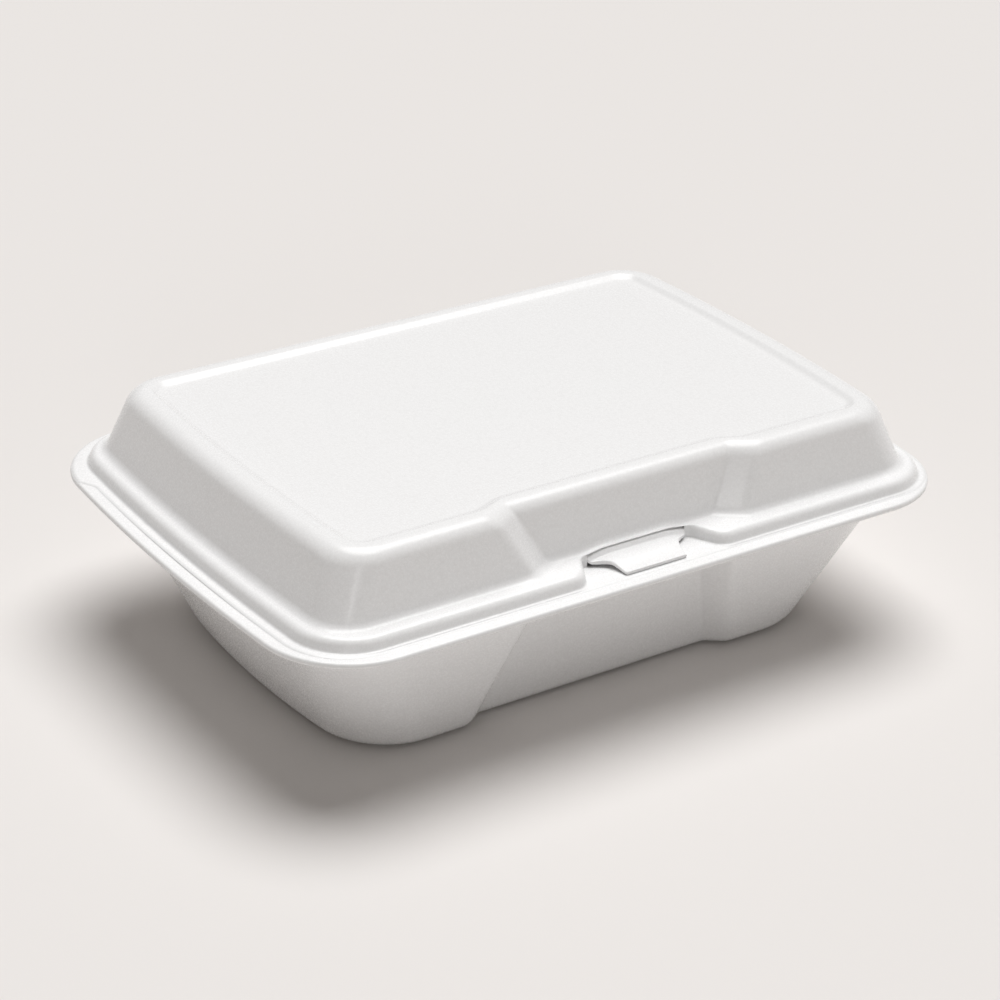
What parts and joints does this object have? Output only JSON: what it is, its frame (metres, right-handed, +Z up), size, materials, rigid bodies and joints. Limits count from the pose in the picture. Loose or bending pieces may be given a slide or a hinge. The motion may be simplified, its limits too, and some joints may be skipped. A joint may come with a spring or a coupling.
{
  "type": "hinged foam food container",
  "caption": "White foam takeaway container with a hinged lid, a flat tray and a locking tongue at the front.",
  "frame": {"origin": "middle of the container's outline, on the plane its foot rests on", "axes": "+X along the long side, +Y from the locking tongue to the hinge, +Z up"},
  "size_m": [0.237, 0.165, 0.074],
  "materials": {
    "tray_foam": "white foam with a faint sheen",
    "lid_foam": "white foam with a faint sheen"
  },
  "bodies": {
    "tray": {"base_tray": "tray_foam"},
    "cover": {"lid": "lid_foam"}
  },
  "joints": [
    {"name": "lid_hinge", "type": "hinge", "parent": "tray", "child": "cover", "pos_m": [0, 0.0825, 0.0501], "axis": [-1, 0, 0], "range_deg": [0, 180]}
  ]
}
